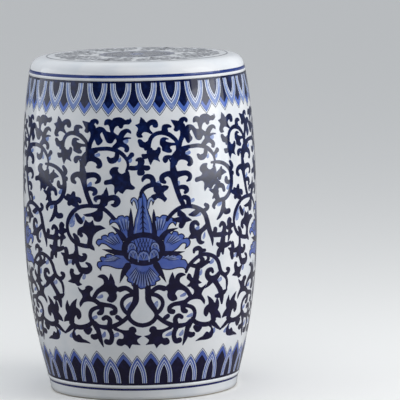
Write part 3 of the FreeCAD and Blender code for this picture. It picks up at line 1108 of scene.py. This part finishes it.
belly_scroll_leaves = (
    [(-5.8, 318.6), (-4.2, 320.6), (-2.4, 320.4), (-1, 321.6), (-0.5, 324.6), (-0.8, 327),
        (-1.6, 327.2), (-1.4, 329.6), (-0.4, 331.4), (1, 331.6), (2.2, 329.2), (2.5, 325.6),
        (2.1, 321.6), (3.2, 320.8), (4.6, 320.2), (5.2, 317.6), (4.6, 315), (3.2, 314.3),
        (2.1, 315.2), (2.5, 312), (2, 309), (0.6, 307.8), (-0.7, 308.8), (-1, 312), (-0.8, 315.2),
        (-2.2, 315), (-4, 315.2), (-5.6, 316.6)],
    [(-28.5, 255), (-28.5, 255), (-24, 257.6), (-21.5, 260.6), (-20.3, 264.5), (-18.6, 264.5),
        (-18.3, 258), (-18.6, 251), (-20.2, 246.3), (-22.5, 247.3), (-23.1, 251.3), (-24, 253),
        (-26.5, 252.8)],
    [(-27.3, 248.2), (-27.3, 248.2), (-26, 244.8), (-24.6, 245.2), (-23.5, 248), (-23.5, 248),
        (-22.8, 241.5), (-21.3, 240.8), (-19.5, 240.8), (-17.1, 237.3), (-17.1, 237.3),
        (-19.5, 235.3), (-21.7, 232), (-23.3, 227), (-24, 221), (-24.1, 215.5), (-23.2, 211),
        (-23, 207.2), (-23, 207.2), (-25, 209.3), (-26.8, 213), (-26.5, 219), (-26.3, 224),
        (-27.4, 228.6), (-29.2, 230.5), (-31.6, 226.8), (-31.9, 232), (-31, 236.3), (-28.8, 239.3),
        (-28.2, 243)],
    [(-41.2, 243.3), (-39.8, 240), (-40, 235.5), (-38.4, 234), (-38.4, 230.5), (-40.2, 227.5),
        (-39, 222.5), (-40.8, 219.3), (-41.5, 214), (-42.8, 209.5), (-42.8, 209.5), (-42.5, 216),
        (-42.7, 222), (-42.4, 226.3), (-44.9, 229.3), (-44.9, 229.3), (-43.1, 232.6), (-43.1, 238),
        (-42.4, 241.8)],
    [(25.6, 231), (24.8, 226), (23.2, 220.8), (23.2, 220.8), (25.5, 219.6), (27.5, 220), (28.1, 216),
        (29.2, 212.2), (31, 211.3), (32.2, 214), (30.6, 216), (30.3, 220.5), (31, 226), (33.3, 230.5),
        (34.8, 236), (33.3, 238), (30.5, 232.5), (28.2, 230.6)],
    [(22.6, 168.3), (23.4, 173), (24.6, 171.3), (25.5, 166.8), (27, 168), (29.3, 168), (29, 163.3),
        (30.8, 159), (30.8, 159), (28.5, 158), (27, 159.3), (25.6, 157.8), (24.5, 155.2),
        (22.5, 156.2), (22.5, 156.2), (24.2, 160), (24.2, 163), (23.1, 165.3)],
    [(-37.6, 176), (-36.8, 180.8), (-35.2, 179.8), (-35.3, 175.6), (-34, 173), (-32, 173.8),
        (-30.4, 178), (-30, 174.5), (-31.6, 168), (-32.2, 163.3), (-30.8, 160.3), (-30.8, 160.3),
        (-33.3, 158.2), (-34.8, 161.2), (-36.3, 161.7), (-39.1, 163.4), (-39.1, 163.4), (-37, 167),
        (-37.2, 171)],
    [(7, 293.5), (9.5, 291.5), (11.5, 293.5), (13.8, 292), (13.4, 288.5), (12, 286), (11.3, 283),
        (12, 279), (12.9, 275.5), (11.9, 271.5), (11.9, 271.5), (10.3, 275.5), (8.5, 277.2),
        (7.2, 274.5), (5.6, 275.8), (5.2, 279), (6.2, 281.5), (7.8, 283.3), (6.8, 287)],
)
belly_scroll_washes = (
    (-34.6, 246, 8, 18), (28.9, 251.4, 10, 5), (32.2, 222.8, 4, 10), (28.4, 233.6, 7, 6),
    (25.8, 271.4, 8, 6), (30.2, 173.3, 5, 9), (36.8, 187, 7, 8), (42, 160.6, 8, 7), (-29.2, 171.7, 5, 9),
    (8.8, 297.5, 9, 6), (18.5, 295, 7, 8), (-24.8, 295.5, 7, 8), (48.4, 285, 7, 9), (42, 263.6, 7, 8),
    (-28.8, 249, 6, 9), (-37, 190.5, 7, 6),
)
foot_scroll_strokes = (
    [(-3.3, 168, 4), (-3, 157, 7), (-3, 147, 7.5), (-3.3, 139, 8), (-5, 131, 7), (-6.8, 123.5, 6),
        (-7, 117.5, 5.2), (-5.6, 111.5, 5.2), (-3, 107, 5.2), (0, 105.3, 5.2)],
    [(-4.5, 148, 5), (-7.5, 145.7, 5), (-9.8, 140, 4.6), (-10.2, 133, 4.6), (-9, 126, 5),
        (-7.2, 121.5, 5)],
    [(-4, 148, 6), (-5.8, 153.7, 5.5), (-8.2, 156.8, 6), (-10.9, 155, 6.8)],
    [(-22, 134.5, 6.5), (-19, 133.5, 5.5), (-16, 132.6, 5.2), (-13.9, 129, 5.6), (-14, 124, 6.6),
        (-15.6, 122.5, 6.2)],
    [(-20.5, 129.5, 5.5), (-21.2, 123.7, 7.2), (-22.6, 121.7, 5)],
    [(-20.3, 130.3, 5), (-23.5, 129.3, 4.6), (-26.3, 125.5, 5), (-27.5, 119, 5), (-27, 111.5, 5),
        (-25.5, 105.5, 6), (-24.3, 100.5, 7)],
    [(-20.3, 114.3, 5), (-18.6, 116.6, 5.6), (-17, 113.5, 6.2), (-17, 108, 6.6), (-18, 102, 7)],
    [(-7.5, 117, 5), (-10, 111.5, 5.2), (-13, 106.7, 5.6), (-16.5, 103.2, 6), (-20, 102.6, 6),
        (-23, 104.5, 4), (-25, 109, 3.5)],
    [(-10.5, 112, 4), (-12, 115.3, 5.6), (-12.9, 117, 5.6)],
    [(-17.8, 101, 6.2), (-16.6, 95, 6.2), (-16.4, 88, 6.2), (-17.5, 82, 6.6), (-19.6, 82.5, 7.2)],
    [(-24, 101.5, 7), (-23.3, 92, 6.6), (-22.8, 85, 6), (-21.6, 75.5, 0.8)],
    [(-23.6, 91, 6.5), (-26, 88.5, 7.2), (-27.3, 89, 6)],
    [(-28, 99, 5), (-29.8, 95.5, 8.3), (-31.3, 97.5, 5.5)],
    [(-26.3, 111, 5), (-28.1, 105.7, 5.6), (-31, 102.2, 6), (-34.5, 100.8, 6), (-38, 102.2, 6),
        (-40, 106, 6)],
    [(-38, 103, 6.2), (-40.5, 99.2, 6), (-43, 94.5, 4), (-45.5, 90.8, 0.8)],
)
foot_scroll_leaves = (
    [(-15.2, 176.3), (-15.2, 176.3), (-14.2, 171), (-13.5, 165.5), (-13.3, 161), (-12, 157.8),
        (-11.5, 154.3), (-12.8, 151), (-12.6, 146), (-13.2, 141), (-15.2, 137.2), (-17.5, 139.3),
        (-17.3, 143), (-16.5, 147), (-17.8, 151.6), (-20, 151.6), (-22, 148.5), (-23.3, 143.5),
        (-24.4, 139.5), (-25.8, 141.5), (-24.6, 147.8), (-22.8, 154), (-20.5, 158.5), (-19, 162),
        (-18.8, 166), (-19.6, 169.5), (-22, 171.6), (-22, 171.6), (-20.6, 174.2), (-18.6, 174.6),
        (-17, 171.3), (-16.4, 166.5), (-16, 170)],
    [(-33.3, 156.3), (-33.3, 156.3), (-31, 152.5), (-29.3, 154), (-28.7, 157.5), (-27, 159),
        (-25.3, 157.5), (-25, 154.3), (-26.4, 151), (-26.7, 147), (-26, 143.8), (-24, 142),
        (-22, 138.5), (-20.6, 134.5), (-22.5, 133), (-25, 136.8), (-28, 137.8), (-30.5, 136),
        (-31.8, 132.5), (-32.9, 129.2), (-32.9, 129.2), (-33.1, 134), (-32, 139), (-31, 143),
        (-31.3, 147), (-32.6, 151.5)],
    [(-34.5, 140.2), (-34.5, 140.2), (-35.3, 134), (-35.5, 128.6), (-34, 126), (-32.9, 121.5),
        (-33, 115.5), (-34.5, 111.9), (-35.4, 114.3), (-36, 117.5), (-37.3, 113.5), (-37.8, 107),
        (-39.5, 104), (-41.3, 108.5), (-44.6, 106.8), (-44.6, 106.8), (-44, 112), (-42.8, 116),
        (-41.8, 119), (-42.4, 124), (-42.2, 129.5), (-41.2, 135), (-40.7, 137.3), (-40.7, 137.3),
        (-40.2, 132), (-39.4, 129), (-38.2, 133), (-36.5, 137)],
    [(-37.6, 100), (-39.4, 94), (-40.2, 88), (-39.2, 82), (-36, 79.8), (-32.5, 79.9), (-29, 79.2),
        (-29, 79.2), (-31.3, 82.7), (-33.4, 84.6), (-34.3, 87.5), (-35.6, 90.3), (-37.3, 88.5),
        (-38.2, 91), (-38.2, 95), (-36.6, 98.5)],
    [(-14.8, 103.5), (-12, 100.2), (-9.5, 98.6), (-7.3, 99), (-6.8, 102), (-5.2, 103.7),
        (-3.8, 101.5), (-3.4, 97.5), (-4.2, 94.5), (-3, 91.7), (-0.7, 90.5), (-0.7, 90.5), (-2.6, 87),
        (-3.2, 84.5), (-2.6, 81), (-1.4, 78.4), (-1.4, 78.4), (-4.5, 79.2), (-6, 78.9), (-7.2, 73.2),
        (-7.2, 73.2), (-8.3, 77.3), (-9.8, 79.3), (-11.5, 77.2), (-13.7, 78.8), (-14, 82.5),
        (-12.8, 86.6), (-10.8, 86.6), (-10, 89.5), (-10.3, 93.5), (-12, 96.5), (-15, 99.5)],
)
foot_scroll_washes = (
    (6.6, 133, 8, 11), (18.9, 133.5, 6, 6), (14, 92.5, 9, 7), (20.6, 92.5, 6, 9), (39.5, 90, 11, 10),
    (25, 116, 9, 6), (21, 145, 8, 6),
)


def touch(painting, ink, degrees, height, across, up):
    """A touch of the brush: a leaning drop of colour, narrower at its upper end."""
    outline = []
    for step in range(touch_points):
        angle = math.tau * step / touch_points
        aside = math.cos(angle) * (1.0 - touch_taper * math.sin(angle)) + touch_lean * math.sin(angle)
        outline.append((
            degrees + across / 2.0 * aside / mm_per_degree, height + up / 2.0 * math.sin(angle)
        ))
    patch(painting, ink, outline)


def brushwork(name, strokes, leaves, washes, count, sides):
    """One band of the scroll, drawn once on each side and then repeated round the stool.

    Each stroke and leaf has a slightly wider one below it, where the colour bled.
    """
    painting = new_painting()
    for side in sides:
        for points in strokes:
            stroke(painting, "dark", [(side * a, z, width) for a, z, width in points])
            stroke(painting, "deep", [(side * a, z, width + bleed) for a, z, width in points])
        for points in leaves:
            patch(painting, "dark", [(side * a, z) for a, z in points])
            stroke(painting, "deep", [(side * a, z, bleed) for a, z in points], closed=True)
        for a, z, across, up in washes:
            touch(painting, "wash", side * a, z, across, up)
    repeat_round(painting, count)
    keep_painting(name, painting, by_hand)


brushwork("rim_scroll", rim_scroll_strokes, rim_scroll_leaves, rim_scroll_washes, rim_repeats, (1,))
brushwork("belly_scroll", belly_scroll_strokes, belly_scroll_leaves, belly_scroll_washes, lotus_count, (1,))
brushwork("foot_scroll", foot_scroll_strokes, foot_scroll_leaves, foot_scroll_washes, lotus_count, (1, -1))

# Seat medallion
# A round lotus seen from above, painted on the seat: a small heart, two rings of scalloped
# petals, the border's scroll laid round them, and a fine ring near the edge.
seat_petals = 8
seat_petal_turn = 360.0 / seat_petals
outer_petal = (34.0, 52.0, 0.23 * seat_petal_turn)
inner_petal = (13.0, 37.0, 0.44 * seat_petal_turn)
seat_petal_edge = (
    (0.0, 0.30), (0.28, 0.62), (0.55, 0.88), (0.74, 1.0), (0.86, 0.90), (0.93, 0.66), (0.90, 0.50),
    (0.99, 0.34), (0.97, 0.18), (1.05, 0.0),
)
seat_petal_leans = (-0.45, -0.15, 0.15, 0.45)
seat_petal_vein = ((0.4, 0.15, 1.3), (0.9, 0.5, 1.1), (1.0, 0.84, 0.5))
seat_petal_line = 1.5
petal_ground = (25.0, 26.0)
heart_ring = (11.0, 3.0)
heart_dot = 9.5
heart_eye = (4.5, 1.4)
seat_ring = (123.0, 1.8)
circle_points = 48
seat_scroll_edge = 114.0
rim_scroll_top = 385.0
seat_brush = 1.1


def on_seat(degrees, radius):
    """A point of a flat drawing from degrees round the seat and the distance from its middle."""
    angle = math.radians(degrees)
    return radius * math.sin(angle), -radius * math.cos(angle)


def seat_height(radius):
    """Height of the glaze on the seat at a distance from its middle."""
    run = max(0.0, radius - seat_flat_radius)
    return total_height - glaze_inset - easing_radius + math.sqrt(easing_radius ** 2 - run ** 2)


def over_the_seat(point):
    """Where a point of a flat drawing goes on the seat, and which way the glaze faces there."""
    radius = math.hypot(point.x, point.y)
    outer, inner = radius + slope_step / 2.0, radius - slope_step / 2.0
    slope = (seat_height(outer) - seat_height(inner)) / slope_step / max(radius, 1.0)
    place = Vector((point.x, point.y, seat_height(radius) + point.z))
    return place * mm, Vector((-slope * point.x, -slope * point.y, 1.0)).normalized()


def seat_circle(radius, width):
    return [(360.0 * step / circle_points, radius, width) for step in range(circle_points)]


def seat_petal(painting, middle, root, tip, half):
    """A petal of the seat's lotus, scalloped at its outer edge, with its veins."""
    reach = tip - root
    outline = [(middle - half * wide, root + reach * share) for share, wide in seat_petal_edge]
    back = reversed(seat_petal_edge[:-1])
    outline += [(middle + half * wide, root + reach * share) for share, wide in back]
    patch(painting, "deep", outline, on_seat)
    edge = [outline[-1]] + outline
    stroke(painting, "dark", [(a, radius, seat_petal_line) for a, radius in edge], on_seat)
    for lean in seat_petal_leans:
        vein = []
        for across, share, width in seat_petal_vein:
            vein.append((middle + half * lean * across, root + reach * share, width))
        stroke(painting, "dark", vein, on_seat)


def laid_flat(degrees, height):
    """The border's scroll laid round the seat: it shrinks towards the middle and keeps its shape."""
    return degrees, seat_scroll_edge * math.exp((height - rim_scroll_top) / round_mm)


medallion = new_painting()
for place in range(rim_repeats):
    turned = 360.0 * place / rim_repeats
    for points in rim_scroll_strokes:
        line = []
        for degrees, height, width in points:
            angle, radius = laid_flat(degrees + turned, height)
            line.append((angle, radius, width * radius / round_mm * seat_brush))
        stroke(medallion, "dark", line, on_seat)
    for points in rim_scroll_leaves:
        outline = [laid_flat(degrees + turned, height) for degrees, height in points]
        patch(medallion, "dark", outline, on_seat)
for place in range(2 * seat_petals):
    seat_petal(medallion, (place + 0.5) * seat_petal_turn / 2.0, *outer_petal)
stroke(medallion, "dark", seat_circle(*petal_ground), on_seat, closed=True)
for place in range(seat_petals):
    seat_petal(medallion, (place + 0.5) * seat_petal_turn, *inner_petal)
stroke(medallion, "dark", seat_circle(*heart_ring), on_seat, closed=True)
patch(medallion, "mid", [(a, heart_dot) for a, _, _ in seat_circle(heart_dot, 0.0)[::4]], on_seat)
stroke(medallion, "dark", seat_circle(*heart_eye), on_seat, closed=True)
stroke(medallion, "dark", seat_circle(*seat_ring), on_seat, closed=True)
keep_painting("seat_medallion", medallion, over_the_seat)

# Floor and light
# A plain pale studio floor in a room that is darker behind the camera. Light comes from a
# tall window and a soft bounce on the right, a wide soft light on the left, and a lamp above.
floor_size = 60.0
floor_seen = (0.90, 0.895, 0.88, 1.0)
floor_shade = (0.36, 0.355, 0.35, 1.0)
floor_drop = 0.0004
floor_roughness = 0.9
floor_specular = 0.1
backdrop_strength = 0.8
room_dim = 0.06
room_back = 0.50
room_top = 0.45
room_back_fade = (-0.3, 0.7)
room_top_fade = (0.1, 0.9)
room_colour = (0.91, 0.95, 1.0, 1.0)
window_place = Vector((1.90, -0.62, 1.00))
window_size = (1.1, 1.9)
window_watts = 19.0
window_colour = (1.0, 0.985, 0.96)
bounce_place = Vector((1.80, -0.55, 0.38))
bounce_size = (1.6, 0.7)
bounce_watts = 12.0
bounce_colour = (0.96, 0.985, 1.0)
left_place = Vector((-1.60, -0.10, 0.64))
left_size = (2.4, 1.05)
left_watts = 12.0
left_colour = (0.95, 0.98, 1.0)
top_place = Vector((0.2, -1.6, 2.6))
top_size = (2.2, 2.2)
top_watts = 20.0
top_colour = (1.0, 1.0, 1.0)
lit_point = Vector((0.0, 0.0, 0.24))

sheet = bmesh.new()
bmesh.ops.create_grid(sheet, x_segments=1, y_segments=1, size=floor_size / 2.0)
bmesh.ops.translate(sheet, verts=sheet.verts, vec=(0.0, 0.0, -floor_drop))
floor_mesh = bpy.data.meshes.new("studio_floor")
sheet.to_mesh(floor_mesh)
sheet.free()
floor_finish, floor_shader, tone = finish_of("studio_floor", floor_roughness)
seen = tone.node("ShaderNodeLightPath", {}, {}, "Is Camera Ray")
colour = seen.blend(floor_shade, floor_seen)
tone.tree.links.new(colour.socket, floor_shader.inputs["Base Color"])
floor_shader.inputs["Specular IOR Level"].default_value = floor_specular
floor_mesh.materials.append(floor_finish)
floor = bpy.data.objects.new("studio_floor", floor_mesh)
bpy.context.scene.collection.objects.link(floor)

world = bpy.data.worlds.new("studio_room")
world.use_nodes = True
room = world.node_tree.nodes["Background"]
room.inputs["Color"].default_value = room_colour
tone = Tone(world.node_tree)
towards = tone.node("ShaderNodeTexCoord", {}, {}, "Generated")
behind = tone.node("ShaderNodeSeparateXYZ", {}, {"Vector": towards}, "Y")
above = tone.node("ShaderNodeSeparateXYZ", {}, {"Vector": towards}, "Z")
glow = behind.rise(*room_back_fade) * room_back + above.rise(*room_top_fade) * room_top + room_dim
seen = tone.node("ShaderNodeLightPath", {}, {}, "Is Camera Ray")
strength = seen * backdrop_strength + (1.0 - seen) * glow
world.node_tree.links.new(strength.socket, room.inputs["Strength"])
bpy.context.scene.world = world


def soft_box(name, place, size, watts, colour, shine=1.0):
    """A rectangular lamp turned towards the stool; its reflection fades as shine goes to 0."""
    lamp_data = bpy.data.lights.new(name, "AREA")
    lamp_data.shape = "RECTANGLE"
    lamp_data.size, lamp_data.size_y = size
    lamp_data.energy = watts
    lamp_data.color = colour
    lamp_data.specular_factor = shine
    lamp = bpy.data.objects.new(name, lamp_data)
    bpy.context.scene.collection.objects.link(lamp)
    facing = (lit_point - place).to_track_quat("-Z", "Y")
    lamp.matrix_world = Matrix.Translation(place) @ facing.to_matrix().to_4x4()
    lamp.visible_camera = False


soft_box("window", window_place, window_size, window_watts, window_colour)
soft_box("bounce", bounce_place, bounce_size, bounce_watts, bounce_colour, shine=0.0)
soft_box("left_light", left_place, left_size, left_watts, left_colour)
soft_box("top_lamp", top_place, top_size, top_watts, top_colour)

bpy.context.scene.view_settings.view_transform = "Standard"
